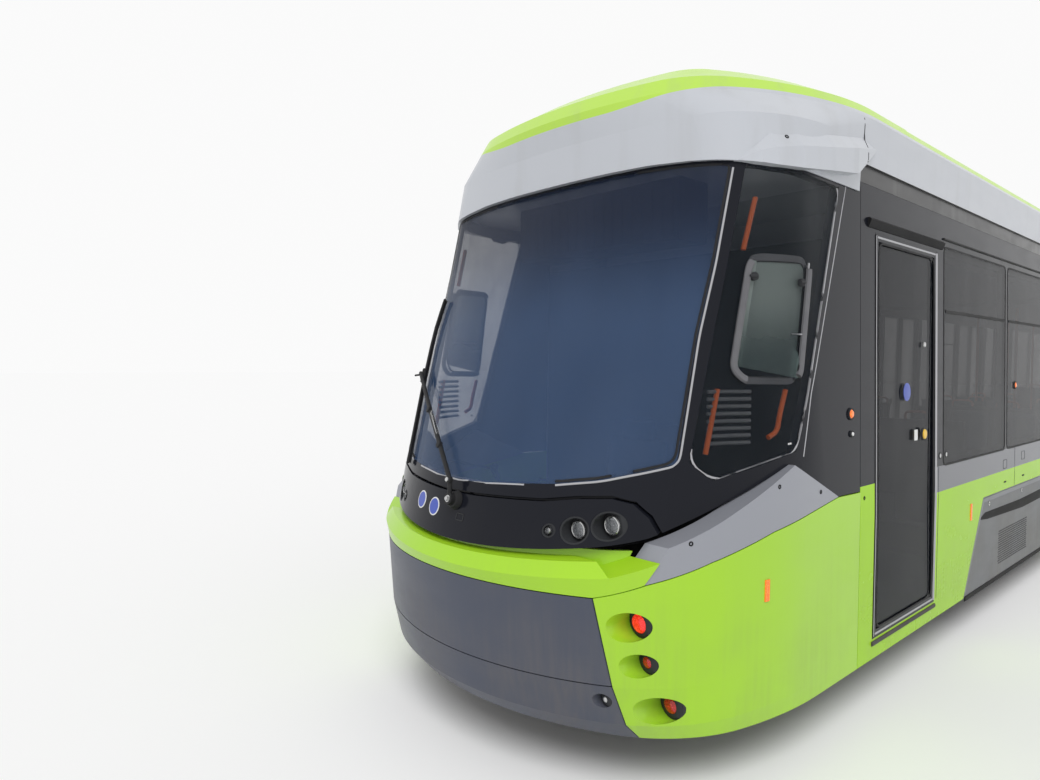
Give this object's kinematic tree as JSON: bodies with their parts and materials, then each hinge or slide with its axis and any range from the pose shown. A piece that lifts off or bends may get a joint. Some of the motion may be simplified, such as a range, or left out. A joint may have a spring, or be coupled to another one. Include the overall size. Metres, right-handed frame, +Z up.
{
  "type": "low-floor articulated tram",
  "caption": "Long low-floor rail tram with a cab at each end, suspended door sections hinged at bellows, bogies, and a folded roof pantograph.",
  "frame": {"origin": "on the floor under the middle of the tram, at the tips of the wheel flanges", "axes": "+X towards the front cab, +Y to the left side, +Z up"},
  "size_m": [32.65, 2.562, 3.5139],
  "materials": {
    "slate_paint": "semi gloss",
    "lime_paint": "gloss",
    "silver_paint": "metallic",
    "black_gloss": "gloss",
    "tinted_glass": "polished, tinted",
    "body_paint": "gloss",
    "roof_paint": "semi gloss",
    "door_black": "gloss",
    "frame_steel": "matt",
    "seat_fabric": "woven",
    "cab_plastic": "grained",
    "lamp_lens": "clear coated",
    "bogie_iron": "painted, dusty",
    "wheel_steel": "worn tread",
    "bellows_rubber": "pleated",
    "panto_steel": "matt"
  },
  "bodies": {
    "centre": {"bogie_centre": "bogie_iron", "fittings_centre": "seat_fabric", "floor_centre": "frame_steel", "glazing_centre": "tinted_glass", "roof_centre": "roof_paint", "walls_centre": "body_paint", "panto_base": "panto_steel"},
    "second": {"doors_second": "door_black", "fittings_second": "seat_fabric", "floor_second": "frame_steel", "glazing_second": "tinted_glass", "roof_second": "roof_paint", "walls_second": "body_paint", "bellows_2": "bellows_rubber"},
    "front": {"bogie_front": "bogie_iron", "cab_fit_front": "cab_plastic", "corner_panels_front": "lime_paint", "doors_front": "door_black", "fittings_front": "seat_fabric", "floor_front": "frame_steel", "glazing_front": "tinted_glass", "lamps_front": "lamp_lens", "mask_front": "black_gloss", "nose_panels_front": "slate_paint", "roof_front": "roof_paint", "shoulder_panels_front": "silver_paint", "walls_front": "body_paint", "wiper_front": "cab_plastic", "bellows_1": "bellows_rubber"},
    "fourth": {"doors_fourth": "door_black", "fittings_fourth": "seat_fabric", "floor_fourth": "frame_steel", "glazing_fourth": "tinted_glass", "roof_fourth": "roof_paint", "walls_fourth": "body_paint", "bellows_3": "bellows_rubber"},
    "rear": {"bogie_rear": "bogie_iron", "cab_fit_rear": "cab_plastic", "corner_panels_rear": "lime_paint", "doors_rear": "door_black", "fittings_rear": "seat_fabric", "floor_rear": "frame_steel", "glazing_rear": "tinted_glass", "lamps_rear": "lamp_lens", "mask_rear": "black_gloss", "nose_panels_rear": "slate_paint", "roof_rear": "roof_paint", "shoulder_panels_rear": "silver_paint", "walls_rear": "body_paint", "wiper_rear": "cab_plastic", "bellows_4": "bellows_rubber"},
    "panto_lower": {"panto_lower": "panto_steel"},
    "panto_upper": {"panto_upper": "panto_steel"},
    "panto_head": {"panto_head": "panto_steel"},
    "wheelset_front_a": {"wheelset_front_a": "wheel_steel"},
    "wheelset_front_b": {"wheelset_front_b": "wheel_steel"},
    "wheelset_centre_a": {"wheelset_centre_a": "wheel_steel"},
    "wheelset_centre_b": {"wheelset_centre_b": "wheel_steel"},
    "wheelset_rear_a": {"wheelset_rear_a": "wheel_steel"},
    "wheelset_rear_b": {"wheelset_rear_b": "wheel_steel"}
  },
  "joints": [
    {"name": "pivot_second", "type": "hinge", "parent": "centre", "child": "second", "pos_m": [2.1, 0, 0.3], "axis": [0, 0, 1], "range_deg": [-14, 14], "deforming": ["bellows_2"]},
    {"name": "pivot_front", "type": "hinge", "parent": "second", "child": "front", "pos_m": [9, 0, 0.3], "axis": [0, 0, 1], "range_deg": [-14, 14], "deforming": ["bellows_1"]},
    {"name": "pivot_fourth", "type": "hinge", "parent": "centre", "child": "fourth", "pos_m": [-2.1, 0, 0.3], "axis": [0, 0, 1], "range_deg": [-14, 14], "deforming": ["bellows_3"]},
    {"name": "pivot_rear", "type": "hinge", "parent": "fourth", "child": "rear", "pos_m": [-9, 0, 0.3], "axis": [0, 0, 1], "range_deg": [-14, 14], "deforming": ["bellows_4"]},
    {"name": "axle_front_a", "type": "hinge", "parent": "front", "child": "wheelset_front_a", "pos_m": [12.025, 0, 0.325], "axis": [0, 1, 0], "continuous": true},
    {"name": "axle_front_b", "type": "hinge", "parent": "front", "child": "wheelset_front_b", "pos_m": [10.175, 0, 0.325], "axis": [0, 1, 0], "continuous": true},
    {"name": "axle_centre_a", "type": "hinge", "parent": "centre", "child": "wheelset_centre_a", "pos_m": [0.925, 0, 0.325], "axis": [0, 1, 0], "continuous": true},
    {"name": "axle_centre_b", "type": "hinge", "parent": "centre", "child": "wheelset_centre_b", "pos_m": [-0.925, 0, 0.325], "axis": [0, 1, 0], "continuous": true},
    {"name": "axle_rear_a", "type": "hinge", "parent": "rear", "child": "wheelset_rear_a", "pos_m": [-10.175, 0, 0.325], "axis": [0, 1, 0], "continuous": true},
    {"name": "axle_rear_b", "type": "hinge", "parent": "rear", "child": "wheelset_rear_b", "pos_m": [-12.025, 0, 0.325], "axis": [0, 1, 0], "continuous": true},
    {"name": "panto_raise", "type": "hinge", "parent": "centre", "child": "panto_lower", "pos_m": [0.65, 0, 3.29], "axis": [0, 1, 0], "range_deg": [0, 52]},
    {"name": "panto_knee", "type": "hinge", "parent": "panto_lower", "child": "panto_upper", "pos_m": [-0.64505, 0, 3.4033], "axis": [0, 1, 0], "range_deg": [-100.86, 0.5]},
    {"name": "panto_level", "type": "hinge", "parent": "panto_upper", "child": "panto_head", "pos_m": [0.83472, 0, 3.42913], "axis": [0, 1, 0], "range_deg": [-0.5, 48.86]}
  ],
  "couplings": [
    {"joint": "panto_knee", "follows": "panto_raise", "ratio": -1.93},
    {"joint": "panto_level", "follows": "panto_raise", "ratio": 0.93}
  ]
}
